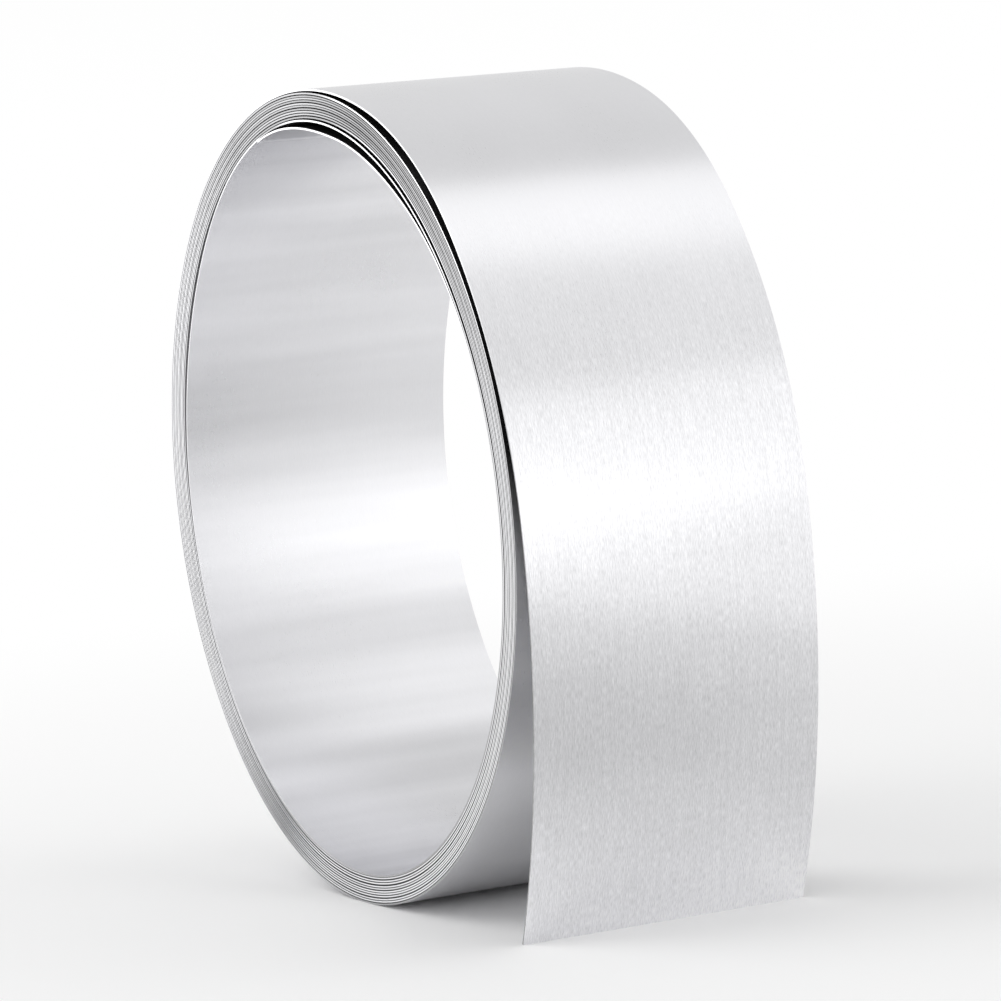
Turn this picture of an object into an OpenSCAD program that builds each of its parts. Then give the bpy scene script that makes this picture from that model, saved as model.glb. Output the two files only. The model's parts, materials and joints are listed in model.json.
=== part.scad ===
// Loose roll of flat aluminium strip, standing on its rim.
//
// One long strip, wound edge to edge into a roll with flat ends. Its inner end stands
// up under the turn outside it and lifts the turns there, so they leave a crescent.
// Its outer turn has sprung open and comes off the roll as a long tail, whose cut end
// rests on the floor beside the roll.
//
// The roll is drawn flat, as seen from its front end, and is wound clockwise from the
// inside out. The strip is the band that lies half a thickness to each side of its
// middle line. Directions are angles, counterclockwise from three o'clock.

/* [Strip] */
// Width of the strip, which is the length of the roll
strip_w = 50; // [20:1:200]
// Thickness of the sheet
sheet_t = 0.3; // [0.2:0.01:0.5]

/* [Pack] */
// Radius of the round eye
eye_r = 61.2; // [45:0.1:150]
// Whole turns in the pack
turns = 12; // [4:1:18]
// Air between two turns where the pack is tightest, at three o'clock
tight_gap = 0.07; // [0.04:0.01:0.5]
// How much more air there is where the pack is slackest, at nine o'clock
slack_gap = 0.175; // [0:0.005:0.5]

/* [Inner end] */
// Direction of the inner cut end
inner_end_at = 111; // [100:1:130]
// Angle over which the inner end rises off the eye
inner_rise_a = 28; // [20:1:40]
// Air between the inner cut end and the turn that it lifts
inner_end_gap = 0.1; // [0.04:0.01:0.4]
// How far the inner end lifts the turns that pass over it
lift = 1.65; // [1:0.05:3]
// Half the angle that the lift spreads over in the turn next to the inner end
lift_a = 40; // [30:1:45]
// How much further it spreads in the turns outside that one
lift_spread_a = 24; // [0:1:28]

/* [Outer end] */
// Direction in which the outer turn leaves the pack
leave_at = 105; // [95:1:125]
// How much flatter than the pack the strip is bent where it leaves
leave_flatter = 5.5; // [4:0.5:10]
// Angle of that bend
leave_a = 31; // [27:0.5:50]
// How much tighter than the pack it is bent next
crown_tighter = 12; // [0:0.5:14]
// Angle of that bend
crown_a = 32; // [0:0.5:36]
// How much flatter than the pack it is bent where it swings clear
swing_flatter = 16; // [10:0.5:60]
// Angle of that bend
swing_a = 34; // [20:0.5:45]
// Bend radius of the tail
tail_r = 139.5; // [100:0.5:400]
// Angle of the tail
tail_a = 27.5; // [5:0.5:32]

/* [Hidden] */
$fn = 180;
step_a = 4;          // angle between two points of the pack
fine_a = step_a/2;   // and of the outer end, whose bends show more
lift_at = inner_end_at - 4;   // direction of the highest point of the lift
lift_drift_a = 25;   // how far that point moves to the right by the outermost turn
spread_from = 1.1;   // the lift starts to spread once the strip has wound these turns
spread_to = 1.9;     // and has spread in full after these
climb_from = 298;    // the strip has wound this far when it starts to climb over its end
climb_to = 350;      // and this far when it has reached its place in the pack
eye_band = 0.02;     // a turn this near the eye's round belongs to the eye
eye_stock = 0.1;     // metal left there, which the eye's cut takes away
look_back_a = 0.01;  // how far back the strip's direction is taken from
eye_mid_r = eye_r + sheet_t/2;
pack_a = 360*turns + inner_end_at - leave_at;

function dir(a) = [cos(a), sin(a)];
function slope(v) = atan2(v.y, v.x);
function bell(x) = exp(-x*x);
function within_half_turn(a) = a - 360*round(a/360);
// 0 before from, 1 after to, and a smooth step between
function ease(x, from, to) =
    let (s = min(1, max(0, (x - from)/(to - from)))) s*s*(3 - 2*s);

// ---- The pack, as a radius for each angle a wound since the inner cut end ----
function at(a) = inner_end_at - a;
// Distance from one turn to the next in direction q
function pitch(q) = sheet_t + tight_gap + slack_gap*pow((1 - cos(q))/2, 2);
// Lift of the turn that has wound through a
function lifted(a) =
    let (
        off = within_half_turn(at(a) - lift_at + lift_drift_a*a/360/turns),
        half_a = lift_a + lift_spread_a*ease(a/360, spread_from, spread_to))
    lift*bell(off/half_a);
inner_rise = pitch(inner_end_at) + lifted(360) - sheet_t - inner_end_gap;
function rise(a) = inner_rise*(1 - ease(a, 0, inner_rise_a));
function climb(a) = ease(a, climb_from, climb_to)*(pitch(at(a))*a/360 + lifted(a));
function wound_r(a) = eye_mid_r + rise(a) + climb(a);
function in_eye(a) = a < climb_to && wound_r(a) - eye_mid_r < eye_band;

pack_steps = [for (a = [0:step_a:pack_a - fine_a]) a];
pack_out = [for (a = pack_steps) (wound_r(a) + sheet_t/2)*dir(at(a))];
pack_in = [for (a = pack_steps)
    (in_eye(a) ? eye_r - eye_stock : wound_r(a) - sheet_t/2)*dir(at(a))];

// ---- The outer end, as arcs that each run on in line from the one before ----
pack_r = wound_r(pack_a);
pack_end = pack_r*dir(leave_at);
short_of_end = wound_r(pack_a - look_back_a)*dir(leave_at + look_back_a);
pack_square = slope(pack_end - short_of_end) + 90;   // square to the strip, outwards
bends = [
    [pack_r + leave_flatter, leave_a],
    [pack_r - crown_tighter, crown_a],
    [pack_r + swing_flatter, swing_a],
    [tail_r, tail_a]];

// Each bend as [centre, radius, first direction, last direction]
function arcs(i, p, a) = i == len(bends) ? [] :
    let (r = bends[i][0], c = p - r*dir(a), b = a - bends[i][1])
    concat([[c, r, a, b]], arcs(i + 1, c + r*dir(b), b));
function arc_point(s, a, off) = s[0] + (s[1] + off)*dir(a);
outer_end = arcs(0, pack_end, pack_square);
tail = outer_end[len(outer_end) - 1];

// Points along the outer end, off to one side of the strip's middle line
function outer_end_side(off) = concat(
    [for (s = outer_end) let (n = ceil((s[2] - s[3])/fine_a))
        for (i = [0:n - 1]) arc_point(s, s[2] + (s[3] - s[2])*i/n, off)],
    [arc_point(tail, tail[3], off)]);

side_out = concat(pack_out, outer_end_side(sheet_t/2));
side_in = concat(pack_in, outer_end_side(-sheet_t/2));
strip = concat(side_out, [for (i = [len(side_in) - 1:-1:0]) side_in[i]]);

// The floor is the steepest line from the tail's end that still passes under the roll
tail_end = arc_point(tail, tail[3], sheet_t/2);
floor_a = max([for (p = pack_out) if (p.y < 0) slope(tail_end - p)]);

module strip_roll() {
    color("gainsboro")
        rotate([90, 0, 0])
            rotate(-floor_a)
                linear_extrude(height = strip_w, center = true)
                    difference() {
                        polygon(strip);
                        circle(r = eye_r);
                    }
}

strip_roll();
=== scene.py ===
import bisect
import json
import math

import bmesh
import bpy
from mathutils import Matrix, Vector


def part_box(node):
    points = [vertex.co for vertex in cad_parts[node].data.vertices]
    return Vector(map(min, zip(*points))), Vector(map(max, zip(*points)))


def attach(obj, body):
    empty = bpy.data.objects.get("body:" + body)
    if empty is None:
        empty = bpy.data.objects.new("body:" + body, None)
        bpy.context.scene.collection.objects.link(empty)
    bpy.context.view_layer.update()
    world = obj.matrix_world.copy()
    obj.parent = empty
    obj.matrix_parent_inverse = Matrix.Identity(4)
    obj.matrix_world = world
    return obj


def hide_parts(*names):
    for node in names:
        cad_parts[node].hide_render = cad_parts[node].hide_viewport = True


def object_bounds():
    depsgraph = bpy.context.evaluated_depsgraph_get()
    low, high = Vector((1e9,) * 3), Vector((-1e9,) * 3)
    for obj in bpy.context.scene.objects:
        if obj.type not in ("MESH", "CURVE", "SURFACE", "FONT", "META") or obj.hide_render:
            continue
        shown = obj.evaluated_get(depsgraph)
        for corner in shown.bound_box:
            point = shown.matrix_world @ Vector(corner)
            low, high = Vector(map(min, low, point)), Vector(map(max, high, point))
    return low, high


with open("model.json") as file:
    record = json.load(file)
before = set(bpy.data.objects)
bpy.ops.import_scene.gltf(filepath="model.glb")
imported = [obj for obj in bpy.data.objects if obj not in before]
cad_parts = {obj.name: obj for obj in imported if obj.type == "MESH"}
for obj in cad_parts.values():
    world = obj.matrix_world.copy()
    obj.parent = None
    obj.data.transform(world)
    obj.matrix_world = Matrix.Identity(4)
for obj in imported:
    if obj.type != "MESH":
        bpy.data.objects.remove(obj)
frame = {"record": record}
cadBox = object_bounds()
eyeMount = frame["record"]["mounts"][0]
mm = 0.001
openAir = 99.0   # mm, stands for the air beside the strip where no turn lies there


# The wound strip. Directions are in degrees, counterclockwise from three o'clock on the front end.

strip = {
    "sheet": 0.3,              # thickness of the sheet, mm
    "turns": 12,
    "tightGap": 0.07,          # air between turns at three o'clock, mm
    "slackGap": 0.175,         # and how much more at nine o'clock
    "innerEndAt": 111,         # direction of the inner cut end
    "innerRise": 28,           # angle over which it rises off the eye
    "innerEndGap": 0.1,        # air between it and the turn that it lifts, mm
    "lift": 1.65,              # how far it lifts the turns that pass over it, mm
    "liftBefore": 4,           # angle from the inner end to the highest point of the lift
    "liftSpread": (40, 24),    # half angle of the lift, and how much wider it is outside
    "liftSpreads": (1.1, 1.9),     # turns between which it widens
    "liftDrift": 25,           # how far its highest point moves to the right by the outermost turn
    "sag": (47, 16, 0.44),     # where the innermost turn sags into the eye, half angle, mm
    "tuck": (645, 66, 0.5, 0.8),   # where the second turn lies close to the first, half angle, mm, next turn's share
    "climb": (298, 350),       # angles wound between which the strip climbs over its own end
    "leaveAt": 105,            # direction where the outer turn leaves the pack
    "lookBack": 0.01,          # angle over which the strip's course is taken there
    "step": 1.5,               # degrees between two stations along the strip
    "across": 4,               # faces across the width
    "crease": 0.6,             # edges sharper than this angle, in radians, aren't smoothed
    "settle": (                # how far out each half turn lies, mm
        0, 0, -0.1, -0.22, -0.01, -0.16, 0.03, -0.17, 0.01, -0.06, -0.01, -0.08, 0.04,
        -0.04, -0.01, -0.07, 0.04, -0.06, 0.02, 0.02, -0.02, 0, 0.03, 0, 0, 0,
    ),
    "flare": (36, 28, 0.34),   # where the front edge of the loose turn stands out, half angle, mm
    "outerEnd": ((5.5, 31), (-12, 32), (16, 34)),   # radius of each bend against the pack's, and its angle
    "tail": (139.5, 27.5),     # radius and angle of the last bend
}

# Painted light and shade on the strip, against the air beside it in mm or a direction: painted shade in the narrow
# gaps between turns, painted light in the wide wedge between the tail and the roll, and edges painted lighter or
# darker by direction
paintedLight = {
    # painted shade on the outer faces, darkest in narrow gaps, and painted light in the wide wedge
    "outerFaces": ((0, 0.08), (1.5, 0.08), (2, 0.5), (2.7, 1.0), (3.5, 1.17), (12, 1.17), (20, 1.0), (openAir, 1.0)),
    # painted light on the inner faces in the wide wedge
    "innerFaces": ((0, 1.0), (2.5, 1.0), (4, 1.12), (12, 1.12), (20, 1.0), (openAir, 1.0)),
    # directions in which the gaps get their painted shade
    "darkSide": ((-180, 0), (-135, 0), (-95, 1), (85, 1), (100, 0.7), (115, 0.4), (145, 0), (180, 0)),
    "openSide": 8,             # how much wider the air between the turns is taken away from that side, so that its painted shade is lighter
    "tightGaps": (0.2, 0.4),   # air over which the painted shade on the borders of the edges fades
    "aloneGaps": (0.3, 0.7),   # air over which an edge comes to stand clear of the others
    # painted light and shade of the cut edges against direction
    "edgeTones": (
        (-180, 1.03), (-165, 1.05), (-150, 1.05), (-135, 0.76), (-120, 0.54), (-105, 1.03),
        (-45, 1.05), (-15, 1.0), (15, 0.82), (30, 0.6), (45, 0.47), (70, 0.31),
        (80, 0.38), (90, 0.46), (115, 0.43), (135, 0.6), (160, 0.8), (180, 1.03),
    ),
    "aloneTones": (            # painted light and shade of the edges that stand clear
        (-180, 0.75), (-140, 0.85), (-80, 0.45), (10, 0.45),
        (40, 0.95), (100, 0.95), (130, 0.6), (180, 0.75),
    ),
    "turnTones": (1.1, 1, 0.8, 1.05, 1.15, 0.82, 0.92, 1.2, 0.8, 1.1, 0.85, 1.12, 0.9, 1.1),   # painted light of each turn's edge, lighter or darker from turn to turn
    "brightestEdge": 1.05,     # no edge is lighter than this
}


def ease(x, start, end):   # 0 before start, 1 after end, and a smooth step between
    s = min(1, max(0, (x - start) / (end - start)))
    return s * s * (3 - 2 * s)


def eased(values, x):   # smooth steps from value to value
    k = min(int(x), len(values) - 2)
    share = ease(x, k, k + 1)
    return values[k] * (1 - share) + values[k + 1] * share


def between(stops, x):   # straight lines from stop to stop
    k = min(max(1, bisect.bisect_right([at for at, value in stops], x)), len(stops) - 1)
    (a, low), (b, high) = stops[k - 1], stops[k]
    return low + (high - low) * min(1, max(0, (x - a) / (b - a)))


def bell(x, middle, half):
    return math.exp(-((x - middle) / half) ** 2)


def pointAt(degrees, radius=1):
    return Vector((radius * math.cos(math.radians(degrees)), radius * math.sin(math.radians(degrees))))


def direction(p):
    return math.degrees(math.atan2(p.y, p.x))


def pitchAt(q):   # from one turn to the next in direction q, mm
    return strip["sheet"] + strip["tightGap"] + strip["slackGap"] * ((1 - math.cos(math.radians(q))) / 2) ** 2


def liftAt(wound):   # wound is the angle wound since the inner end
    out = wound / 360 / strip["turns"]
    off = strip["liftBefore"] - wound + strip["liftDrift"] * out
    off -= 360 * round(off / 360)
    near, more = strip["liftSpread"]
    return strip["lift"] * bell(off, 0, near + more * ease(wound / 360, *strip["liftSpreads"]))


def settleAt(wound):
    at, spread, depth = strip["sag"]
    sunk = depth * bell(wound, at, spread)
    at, spread, depth, left = strip["tuck"]
    turn = max(0, round((wound - at) / 360))
    sunk += depth * left ** turn * bell(wound - 360 * turn, at, spread)
    return eased(strip["settle"], wound / 180) - sunk


def radiusAt(wound, eye):
    pitch = pitchAt(strip["innerEndAt"] - wound)
    climbed = ease(wound, *strip["climb"]) * (pitch * wound / 360 + liftAt(wound))
    rise = pitchAt(strip["innerEndAt"]) + liftAt(360) - strip["sheet"] - strip["innerEndGap"]
    risen = rise * (1 - ease(wound, 0, strip["innerRise"]))
    return eye + strip["sheet"] / 2 + risen + climbed


def routeOfStrip(eye):   # middle line of the strip in mm, before it is stood on the floor
    route = []
    last = 360 * strip["turns"] + strip["innerEndAt"] - strip["leaveAt"]
    count = round(last / strip["step"])
    for i in range(count):
        wound = last * i / count
        route.append(pointAt(strip["innerEndAt"] - wound, radiusAt(wound, eye) + settleAt(wound)))
    packRadius, back = radiusAt(last, eye), strip["lookBack"]
    point = packRadius * pointAt(strip["leaveAt"])
    square = direction(point - radiusAt(last - back, eye) * pointAt(strip["leaveAt"] + back)) + 90
    bends = [(packRadius + more, angle) for more, angle in strip["outerEnd"]]
    for bend, angle in bends + [strip["tail"]]:
        centre = point - bend * pointAt(square)
        pieces = math.ceil(angle / strip["step"])
        for i in range(pieces):
            route.append(centre + bend * pointAt(square - angle * i / pieces))
        square -= angle
        point = centre + bend * pointAt(square)
    route.append(point)
    return route, count


def squareTo(route, i):
    along = route[min(i + 1, len(route) - 1)] - route[max(i - 1, 0)]
    return Vector((-along.y, along.x)).normalized()


def standOnFloor(route, count):   # the tail's end and the roll's underside share one floor
    half = strip["sheet"] / 2
    end = route[-1] + half * squareTo(route, len(route) - 1)
    underside = [q * (1 + half / q.length) for q in route[:count] if q.y < 0]
    steepest = max(math.atan2(end.y - p.y, end.x - p.x) for p in underside)
    return [Matrix.Rotation(-steepest, 2) @ p for p in route]


def fitRoute(route, low, high):   # the smooth route just clears the facets of the CAD
    half = strip["sheet"] / 2
    skin = [route[i] + half * squareTo(route, i) for i in range(len(route))]
    reach = [max(p.x for p in skin), -min(p.x for p in skin), max(p.y for p in skin), -min(p.y for p in skin)]
    room = [high.x / mm, -low.x / mm, high.z / mm, -low.z / mm]
    fit = min(1, *(have / need for have, need in zip(room, reach)))
    return [p * fit for p in route]


def airBeside(route):   # mm between each station and the turn outside it, and the turn inside it
    turned, radii = [0.0], [p.length for p in route]
    for a, b in zip(route, route[1:]):
        turned.append(turned[-1] + math.degrees(a.angle(b)))
    outside, inside = [], []
    for result, shift in ((outside, 360), (inside, -360)):
        for here, r in zip(turned, radii):
            there = here + shift
            if not 0 <= there <= turned[-1]:
                result.append(openAir)
                continue
            k = min(bisect.bisect_right(turned, there), len(turned) - 1)
            share = (there - turned[k - 1]) / (turned[k] - turned[k - 1])
            beside = radii[k - 1] + share * (radii[k] - radii[k - 1])
            result.append(abs(beside - r) - strip["sheet"])
    return outside, inside


def windSheet(bm, route, count, runs, low, high):   # the flat sheet is wound up, station by station
    alongStrip, acrossStrip = (bm.verts.layers.float[name] for name in ("along", "across"))
    flareAt, flareSpread, flare = strip["flare"]
    half, width = strip["sheet"] / 2, high.y - low.y
    for v in bm.verts:
        i = round((v.co.x + 0.5) * (len(route) - 1))   # the flat grid runs from -0.5 to 0.5 both ways
        share = v.co.y + 0.5
        out = flare * (1 - share) * bell(direction(route[i]), flareAt, flareSpread) if i > count else 0
        p = route[i] + (half + out) * squareTo(route, i)
        v[alongStrip] = runs[i] * mm
        v[acrossStrip] = width * share
        v.co = Vector((p.x * mm, low.y + width * share, p.y * mm))
    bm.normal_update()
    bmesh.ops.solidify(bm, geom=bm.faces[:], thickness=strip["sheet"] * mm)
    for v in bm.verts:   # the flare leans a hair past the box of the CAD
        v.co = Vector([min(max(at, least), most) for at, least, most in zip(v.co, low, high)])
    bm.normal_update()


def toneStrip(bm, route, count, runs):   # painted light and shade that the finishes read at each point
    alongStrip, air, outside, tone, edgeTone, tight = (
        bm.verts.layers.float[name] for name in ("along", "air", "outside", "tone", "edge tone", "tight")
    )
    openOut, openIn = airBeside(route)
    rounding = 0.01   # mm, far less than the way between two stations
    for v in bm.verts:
        i = bisect.bisect_left(runs, v[alongStrip] / mm - rounding)
        q = direction(route[i])
        dark = between(paintedLight["darkSide"], q)   # 1 on the side where the gaps get painted shade
        near = Vector((v.co.x / mm, v.co.z / mm)).length < route[i].length
        gap = openIn[i] if near else openOut[i]
        v[air] = gap * (1 + paintedLight["openSide"] * (1 - dark))
        v[outside] = 0 if near else 1
        # painted shade in narrow gaps and painted light in the wide wedge, then the mask of painted shade on the
        # borders of the edges
        v[tone] = between(paintedLight["innerFaces"], gap) if near else 1 - (1 - between(paintedLight["outerFaces"], gap)) * dark
        v[tight] = (1 - ease(gap, *paintedLight["tightGaps"])) * dark
        # painted light and shade of the cut edges by direction and by turn
        alone = ease(max(openIn[i], openOut[i]), *paintedLight["aloneGaps"])
        lit = between(paintedLight["edgeTones"], q) * (1 - alone) + between(paintedLight["aloneTones"], q) * alone
        v[edgeTone] = min(paintedLight["brightestEdge"], lit * eased(paintedLight["turnTones"], i / count * strip["turns"]))


def mapStrip(bm):   # the sheet laid flat is its UV map, in metres
    alongStrip, acrossStrip = (bm.verts.layers.float[name] for name in ("along", "across"))
    uv = bm.loops.layers.uv.new("strip")
    for edge in bm.edges:
        if edge.calc_face_angle(0) > strip["crease"]:
            edge.smooth = False
    for face in bm.faces:
        face.smooth = True
        for loop in face.loops:
            loop[uv].uv = (loop.vert[alongStrip], loop.vert[acrossStrip])
        lengths, widths = zip(*(loop[uv].uv for loop in face.loops))
        if min(max(lengths) - min(lengths), max(widths) - min(widths)) < mm / 1000:   # a cut edge has no area there
            face.material_index = 1


def makeStrip():
    low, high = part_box("strip_roll")
    route, count = routeOfStrip(eyeMount["dims"]["r_mm"])
    route = fitRoute(standOnFloor(route, count), low, high)
    runs = [0.0]
    for a, b in zip(route, route[1:]):
        runs.append(runs[-1] + (b - a).length)

    bm = bmesh.new()
    bmesh.ops.create_grid(bm, x_segments=len(route) - 1, y_segments=strip["across"], size=0.5)
    for name in ("along", "across", "air", "outside", "tone", "edge tone", "tight"):
        bm.verts.layers.float.new(name)
    windSheet(bm, route, count, runs, low, high)
    toneStrip(bm, route, count, runs)
    mapStrip(bm)
    mesh = bpy.data.meshes.new("wound_strip")
    bm.to_mesh(mesh)
    bm.free()
    piece = bpy.data.objects.new("wound_strip", mesh)
    bpy.context.scene.collection.objects.link(piece)
    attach(piece, "root")
    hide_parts("strip_roll")
    print("strip wound:", len(route), "stations,", round(runs[-1] * mm, 3), "m,", len(mesh.polygons), "faces")
    return piece, runs[-1] * mm


# Finishes, with the painted light and shade on the strip

finishAndPaintedLight = {
    "sheetColour": (0.842, 0.842, 0.86, 1),
    "sheetRoughness": 0.3,
    "sheetAnisotropy": 0.6,
    "sheetGrain": 0.22,        # contrast of the rolling marks on the sheet
    "edgeColour": (0.948, 0.948, 0.966, 1),
    "edgeRoughness": 0.34,
    "edgeAnisotropy": 0,
    "edgeGrain": 0.25,         # and on its cut edges
    "edgeDark": 0.8,           # how dark the painted shade on the borders of the edges is where two turns all but touch
    "edgeBorder": 0.3,         # width of those borders, as a share of the edge
    "markTurn": 0.25,          # turns from the strip's length to the way that the marks spread the light
    "markLength": 0.0012,      # length of a rolling mark, m
    "markWidth": 0.00014,      # and its width
    "markDetail": 0.6,         # how ragged the marks are
    "markFrom": (0.085, 0.12, 0.12),   # distances from the outer end over which the marks weaken, m, and what is left
    "markHeight": 0.000004,    # m
    "markBump": 0.5,
    "markRoughness": 0.03,     # how far the marks change the roughness
    "streaks": (9, 5),         # how much longer and wider the long streaks are
    "streakContrast": 0.25,    # against that of the marks
    "cloudSize": 0.03,         # faint clouds left by handling, m
    "cloudContrast": 0.03,
    "cloudRoughness": 0.02,
    "bandSize": (0.009, 0.12),     # faint painted reflection bands across the inside of the roll, m along and across the strip
    "bandContrast": 0.09,
    "gapShade": 1.5,            # how fast painted shade darkens the inner faces with depth between two turns
    "gapOpen": (0.4, 1.5),     # air between turns, mm, over which that ends
    "outerTones": (            # painted reflection tones of the outside, lighter and darker, against distance from the outer end, m
        (0.0, 1.1), (0.01, 1.04), (0.018, 0.935), (0.023, 0.87), (0.028, 0.8), (0.033, 0.77),
        (0.038, 0.765), (0.043, 0.81), (0.048, 0.85), (0.053, 0.96), (0.058, 1.02), (0.064, 1.01),
        (0.069, 0.96), (0.075, 0.9), (0.085, 0.89), (0.095, 0.97), (0.11, 1.0),
    ),
    "outerTilt": (             # and the painted tones of its back edge against the middle
        (0.0, 1.05), (0.01, 1.08), (0.03, 1.11), (0.045, 1.02), (0.06, 0.96), (0.08, 1.0),
    ),
    "outerSlant": 0.2,         # how far those painted tones run askew across the strip
    "innerTones": (            # painted light and shade of the inside against distance from the inner end, m: a painted highlight at the inner cut end, painted shade beside it, and painted reflection bands further on
        (0.0, 1.3), (0.0004, 1.3), (0.0006, 0.84), (0.012, 0.86), (0.03, 1.0), (0.16, 0.95),
        (0.245, 0.96), (0.2623, 0.92), (0.2698, 0.96), (0.2773, 0.99), (0.2848, 1.08), (0.2923, 1.0),
        (0.2998, 0.97), (0.3068, 1.0), (0.314, 0.95), (0.3223, 0.89), (0.3275, 1.02), (0.345, 1.04),
        (0.38, 1.0),
    ),
}


def newGroup(name, inputs, outputs):
    group = bpy.data.node_groups.new(name, "ShaderNodeTree")
    for kind, label in inputs:
        group.interface.new_socket(label, in_out="INPUT", socket_type=kind)
    for kind, label in outputs:
        group.interface.new_socket(label, in_out="OUTPUT", socket_type=kind)
    return group, group.nodes.new("NodeGroupInput"), group.nodes.new("NodeGroupOutput")


def combine(tree, operation, *terms):   # one Math node, from numbers and sockets
    node = tree.nodes.new("ShaderNodeMath")
    node.operation = operation
    for socket, term in zip(node.inputs, terms):
        if isinstance(term, (int, float)):
            socket.default_value = term
        else:
            tree.links.new(term, socket)
    return node.outputs[0]


def noiseOver(tree, along, across, detail):
    joined, noise = tree.nodes.new("ShaderNodeCombineXYZ"), tree.nodes.new("ShaderNodeTexNoise")
    tree.links.new(along, joined.inputs[0])
    tree.links.new(across, joined.inputs[1])
    noise.inputs["Scale"].default_value = 1
    noise.inputs["Detail"].default_value = detail
    tree.links.new(joined.outputs[0], noise.inputs["Vector"])
    return noise


def rollingGrainGroup():
    group, given, result = newGroup(
        "rolling grain",
        [("NodeSocketVector", "Strip"), ("NodeSocketFloat", "Length"), ("NodeSocketFloat", "Width")],
        [("NodeSocketFloat", "Grain"), ("NodeSocketFloat", "Streak")],
    )
    parts = group.nodes.new("ShaderNodeSeparateXYZ")
    group.links.new(given.outputs["Strip"], parts.inputs[0])
    for label, detail, (longer, wider) in (("Grain", 3, (1, 1)), ("Streak", 2, finishAndPaintedLight["streaks"])):
        markLength = combine(group, "MULTIPLY", given.outputs["Length"], longer)
        markWidth = combine(group, "MULTIPLY", given.outputs["Width"], wider)
        along = combine(group, "DIVIDE", parts.outputs["X"], markLength)
        across = combine(group, "DIVIDE", parts.outputs["Y"], markWidth)
        noise = noiseOver(group, along, across, detail)
        noise.inputs["Roughness"].default_value = finishAndPaintedLight["markDetail"]
        group.links.new(noise.outputs[0], result.inputs[label])
    return group


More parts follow.
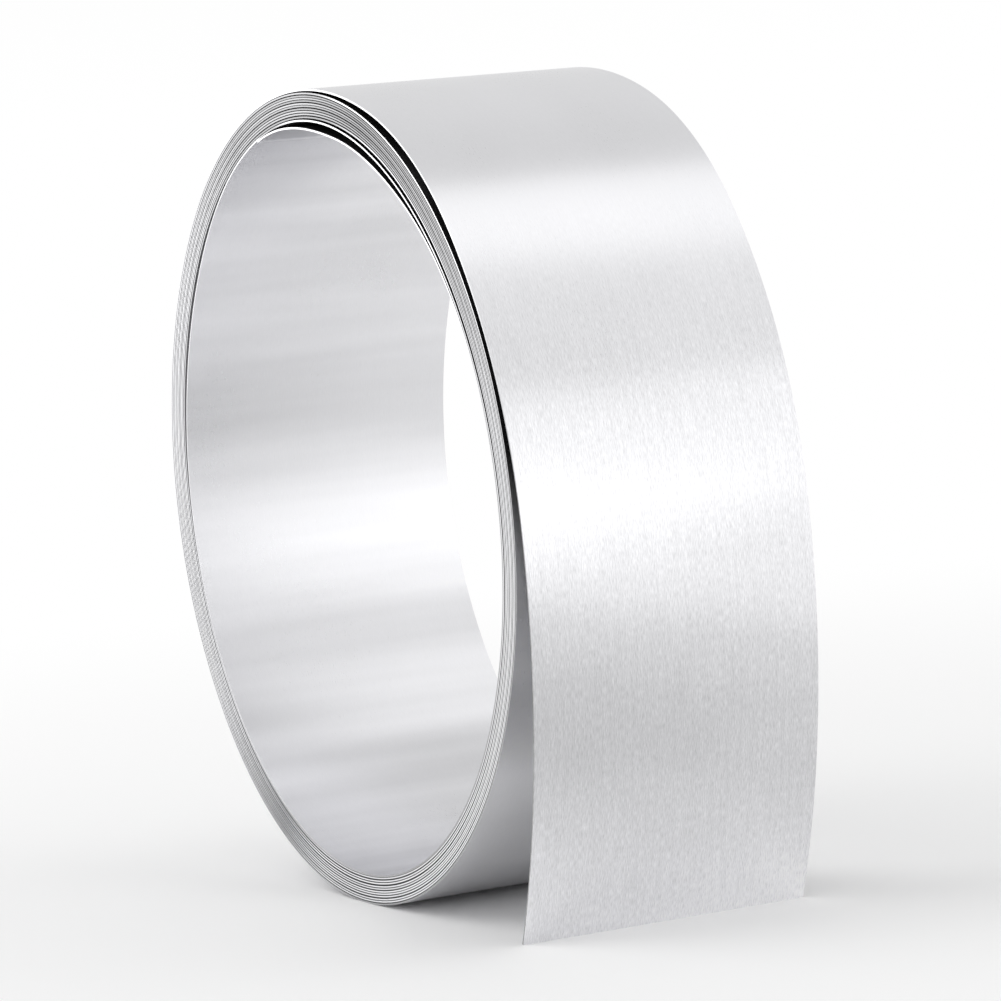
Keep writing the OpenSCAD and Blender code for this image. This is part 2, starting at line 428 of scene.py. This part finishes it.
def metal(name, part, grain, width, length):
    colour, roughness, anisotropy, contrast = (
        finishAndPaintedLight[part + label] for label in ("Colour", "Roughness", "Anisotropy", "Grain")
    )
    material = bpy.data.materials.new(name)
    material.use_nodes = True
    tree = material.node_tree
    nodes, links = tree.nodes, tree.links
    shader = nodes["Principled BSDF"]
    shader.inputs["Metallic"].default_value = 1
    shader.inputs["Anisotropic"].default_value = anisotropy
    shader.inputs["Anisotropic Rotation"].default_value = finishAndPaintedLight["markTurn"]
    tangent = nodes.new("ShaderNodeTangent")
    tangent.direction_type = "UV_MAP"
    tangent.uv_map = "strip"
    links.new(tangent.outputs[0], shader.inputs["Tangent"])
    place = nodes.new("ShaderNodeUVMap")
    place.uv_map = "strip"
    parts = nodes.new("ShaderNodeSeparateXYZ")
    links.new(place.outputs[0], parts.inputs[0])
    along, across = parts.outputs["X"], parts.outputs["Y"]
    marks = nodes.new("ShaderNodeGroup")
    marks.node_tree = grain
    marks.inputs["Length"].default_value = finishAndPaintedLight["markLength"]
    marks.inputs["Width"].default_value = finishAndPaintedLight["markWidth"]
    links.new(place.outputs[0], marks.inputs["Strip"])
    cloud = nodes.new("ShaderNodeTexNoise")
    cloud.inputs["Scale"].default_value = 1 / finishAndPaintedLight["cloudSize"]
    cloud.inputs["Detail"].default_value = 3
    links.new(place.outputs[0], cloud.inputs["Vector"])

    def combined(operation, *terms):
        return combine(tree, operation, *terms)

    def scaled(source, low, high, start=0.25, end=0.75):   # a noise lies mostly between a quarter and three quarters
        node = nodes.new("ShaderNodeMapRange")
        node.inputs["From Min"].default_value, node.inputs["From Max"].default_value = start, end
        node.inputs["To Min"].default_value, node.inputs["To Max"].default_value = low, high
        links.new(source, node.inputs["Value"])
        return node.outputs[0]

    def given(label):   # a value that the strip's mesh carries
        node = nodes.new("ShaderNodeAttribute")
        node.attribute_name = label
        return node.outputs["Fac"]

    def toneRamp(stops, source):
        reach, brightest = stops[-1][0], max(tone for at, tone in stops)
        ramp = nodes.new("ShaderNodeValToRGB")
        while len(ramp.color_ramp.elements) < len(stops):
            ramp.color_ramp.elements.new(0.5)
        for element, (at, tone) in zip(ramp.color_ramp.elements, stops):
            element.position = at / reach
            element.color = (tone / brightest,) * 3 + (1,)
        links.new(combined("DIVIDE", source, reach), ramp.inputs[0])
        return combined("MULTIPLY", ramp.outputs[0], brightest)

    fromEnd = combined("SUBTRACT", length, along)
    near, far, left = finishAndPaintedLight["markFrom"]
    strength = scaled(fromEnd, 1, left, near, far)
    faint = contrast * finishAndPaintedLight["streakContrast"]
    grained = combined("MULTIPLY_ADD", scaled(marks.outputs["Grain"], -contrast, contrast), strength, 1)
    streaked = combined("MULTIPLY_ADD", scaled(marks.outputs["Streak"], -faint, faint), strength, 1)
    shade = combined("MULTIPLY", grained, streaked)
    clouds = finishAndPaintedLight["cloudContrast"]
    shade = combined("MULTIPLY", shade, scaled(cloud.outputs[0], 1 - clouds, 1 + clouds))
    outside = given("outside")
    inside = combined("SUBTRACT", 1, outside)
    if part == "edge":
        # painted shade on the borders of the edges where two turns all but touch, then each edge's painted light
        border = scaled(combined("MINIMUM", outside, inside), finishAndPaintedLight["edgeDark"], 0, 0, finishAndPaintedLight["edgeBorder"])
        shade = combined("MULTIPLY", shade, combined("SUBTRACT", 1, combined("MULTIPLY", border, given("tight"))))
        shade = combined("MULTIPLY", shade, given("edge tone"))
    else:
        # painted reflection tones along the outside, askew and tilted across it
        askew = combined("MULTIPLY_ADD", across, finishAndPaintedLight["outerSlant"], fromEnd)
        askew = combined("SUBTRACT", askew, finishAndPaintedLight["outerSlant"] * width / 2)
        shade = combined("MULTIPLY", shade, toneRamp(finishAndPaintedLight["outerTones"], askew))
        tilt = combined("SUBTRACT", toneRamp(finishAndPaintedLight["outerTilt"], fromEnd), 1)
        offMiddle = combined("MULTIPLY_ADD", across, 2 / width, -1)   # -1 at the front edge, 1 at the back
        shade = combined("MULTIPLY", shade, combined("MULTIPLY_ADD", tilt, offMiddle, 1))
        air = given("air")   # light hardly gets in between the turns
        depth = combined("MINIMUM", across, combined("SUBTRACT", width, across))
        lit = combined("DIVIDE", air, combined("MULTIPLY_ADD", depth, finishAndPaintedLight["gapShade"] / mm, air))
        lit = combined("MULTIPLY_ADD", combined("SUBTRACT", 1, lit), scaled(air, 0, 1, *finishAndPaintedLight["gapOpen"]), lit)
        # painted reflection bands across the inside
        bandLength, bandWidth = finishAndPaintedLight["bandSize"]
        bands = noiseOver(tree, combined("DIVIDE", along, bandLength), combined("DIVIDE", across, bandWidth), 2)
        banding = finishAndPaintedLight["bandContrast"]
        lit = combined("MULTIPLY", lit, scaled(bands.outputs[0], 1 - banding, 1 + banding))
        # painted highlight at the inner cut end and painted light and shade along the inside
        lit = combined("MULTIPLY", lit, toneRamp(finishAndPaintedLight["innerTones"], along))
        lit = combined("MULTIPLY_ADD", lit, inside, outside)
        shade = combined("MULTIPLY", shade, combined("MULTIPLY", lit, given("tone")))
    tone = nodes.new("ShaderNodeMix")
    tone.data_type = "RGBA"
    tone.clamp_factor = False
    black, full = tone.inputs[6], tone.inputs[7]   # its two colour sockets
    black.default_value = (0, 0, 0, 1)
    full.default_value = colour
    links.new(shade, tone.inputs[0])
    links.new(tone.outputs[2], shader.inputs["Base Color"])
    marked, clouded = finishAndPaintedLight["markRoughness"], finishAndPaintedLight["cloudRoughness"]
    rough = scaled(marks.outputs["Grain"], roughness - marked, roughness + marked)
    links.new(combined("ADD", rough, scaled(cloud.outputs[0], -clouded, clouded)), shader.inputs["Roughness"])
    bump = nodes.new("ShaderNodeBump")
    bump.inputs["Strength"].default_value = finishAndPaintedLight["markBump"]
    bump.inputs["Distance"].default_value = finishAndPaintedLight["markHeight"]
    links.new(marks.outputs["Grain"], bump.inputs["Height"])
    links.new(bump.outputs[0], shader.inputs["Normal"])
    return material


def dressStrip(piece, length):
    low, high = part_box("strip_roll")
    grain = rollingGrainGroup()
    for name, part in (("mill finish", "sheet"), ("slit edge", "edge")):
        piece.data.materials.append(metal(name, part, grain, high.y - low.y, length))
    print("finishes made:", [m.name for m in piece.data.materials])


# Studio

studio = {
    "floorColour": (0.96, 0.96, 0.96, 1),
    "floorRoughness": 0.9,
    "floorGloss": 0.1,
    "floorFade": (0.1, 0.5),   # distances from the roll over which the floor runs out into white, m
    "floorSize": 8,
    "dome": (                  # brightness of the surroundings against height
        (0.0, 1.0), (0.06, 0.98), (0.18, 0.83), (0.4, 0.78), (0.7, 0.78), (1.0, 0.72),
    ),
    "domeSides": (             # axis, from where on it to where, brightness before and after
        ("X", -0.1, 0.5, 1, 1.17),     # brighter on the right
        ("Y", 0, 0.36, 0.9, 1),        # and darker at the front
    ),
    "panels": (                # name, direction from the roll, distance, size along the roll, size across, brightness
        ("overhead panel", (0.25, 0.36, 0.9), 1.25, 0.85, 0.55, 0.39),
        ("side panel", (0.9, 0.44, 0.25), 1.3, 1.0, 0.6, 0.4),
        ("front panel", (-0.3, -0.6, 0.78), 1.3, 1.0, 1.0, 1.3),
        ("edge panel", (-0.84, -0.54, 0.1), 1.3, 0.9, 0.4, 1.2),
    ),
}


def makeFloor():
    low, high = cadBox
    bm = bmesh.new()
    bmesh.ops.create_grid(bm, x_segments=1, y_segments=1, size=studio["floorSize"] / 2)
    bmesh.ops.translate(bm, verts=bm.verts, vec=(0, 0, low.z))
    mesh = bpy.data.meshes.new("floor")
    bm.to_mesh(mesh)
    bm.free()
    floor = bpy.data.objects.new("floor", mesh)
    bpy.context.scene.collection.objects.link(floor)
    material = bpy.data.materials.new("pale floor")
    material.use_nodes = True
    nodes, links = material.node_tree.nodes, material.node_tree.links
    shader = nodes["Principled BSDF"]
    shader.inputs["Base Color"].default_value = studio["floorColour"]
    shader.inputs["Roughness"].default_value = studio["floorRoughness"]
    shader.inputs["Specular IOR Level"].default_value = studio["floorGloss"]
    place, distance = nodes.new("ShaderNodeTexCoord"), nodes.new("ShaderNodeVectorMath")
    distance.operation = "LENGTH"
    fade = nodes.new("ShaderNodeMapRange")
    fade.interpolation_type = "SMOOTHSTEP"
    fade.inputs["From Min"].default_value, fade.inputs["From Max"].default_value = studio["floorFade"]
    white, mixed = nodes.new("ShaderNodeEmission"), nodes.new("ShaderNodeMixShader")
    links.new(place.outputs["Object"], distance.inputs[0])
    links.new(distance.outputs["Value"], fade.inputs["Value"])
    links.new(fade.outputs[0], mixed.inputs[0])
    links.new(shader.outputs[0], mixed.inputs[1])
    links.new(white.outputs[0], mixed.inputs[2])
    links.new(mixed.outputs[0], nodes["Material Output"].inputs["Surface"])
    mesh.materials.append(material)


def makeDome():
    world = bpy.data.worlds.new("studio")
    bpy.context.scene.world = world
    world.use_nodes = True
    nodes, links = world.node_tree.nodes, world.node_tree.links
    place, parts = nodes.new("ShaderNodeTexCoord"), nodes.new("ShaderNodeSeparateXYZ")
    links.new(place.outputs["Generated"], parts.inputs[0])
    ramp, stops = nodes.new("ShaderNodeValToRGB"), studio["dome"]
    ramp.color_ramp.interpolation = "EASE"
    while len(ramp.color_ramp.elements) < len(stops):
        ramp.color_ramp.elements.new(0.5)
    for element, (at, bright) in zip(ramp.color_ramp.elements, stops):
        element.position = at
        element.color = (bright, bright, bright, 1)
    links.new(parts.outputs["Z"], ramp.inputs[0])
    light = ramp.outputs[0]
    for axis, start, end, first, last in studio["domeSides"]:
        side, total = nodes.new("ShaderNodeMapRange"), nodes.new("ShaderNodeVectorMath")
        side.interpolation_type = "SMOOTHSTEP"
        side.inputs["From Min"].default_value, side.inputs["From Max"].default_value = start, end
        side.inputs["To Min"].default_value, side.inputs["To Max"].default_value = first, last
        links.new(parts.outputs[axis], side.inputs["Value"])
        total.operation = "SCALE"
        links.new(light, total.inputs[0])
        links.new(side.outputs[0], total.inputs["Scale"])
        light = total.outputs[0]
    links.new(light, nodes["Background"].inputs["Color"])


def makePanels():
    low, high = cadBox
    middle = (low + high) / 2
    for name, towards, distance, along, across, bright in studio["panels"]:
        light = bpy.data.lights.new(name, "AREA")
        light.shape = "RECTANGLE"
        light.size, light.size_y = across, along
        light.energy = bright * math.pi * along * across
        lamp = bpy.data.objects.new(name, light)
        back = Vector(towards).normalized()
        lamp.location = middle + back * distance
        sideways = Vector((0, 1, 0)).cross(back).normalized()
        lengthways = back.cross(sideways)
        lamp.rotation_euler = Matrix((sideways, lengthways, back)).transposed().to_euler()
        bpy.context.scene.collection.objects.link(lamp)


view = {
    "lens": 169.7,             # mm
    "sensor": 36,
    "clip": (0.05, 20),        # m
    "place": (0.70544, -0.33922, 0.06286),
    "turn": (85.219, 4.820, 63.562),   # degrees
}


def makeCamera():
    data = bpy.data.cameras.new("camera")
    data.sensor_width = view["sensor"]
    data.lens = view["lens"]
    data.clip_start, data.clip_end = view["clip"]
    camera = bpy.data.objects.new("camera", data)
    camera.location = view["place"]
    camera.rotation_euler = [math.radians(a) for a in view["turn"]]
    bpy.context.scene.collection.objects.link(camera)
    bpy.context.scene.camera = camera


dressStrip(*makeStrip())
makeFloor()
makeDome()
makePanels()
makeCamera()
bpy.context.scene.view_settings.view_transform = "Standard"
print("studio ready")

bpy.context.view_layer.update()
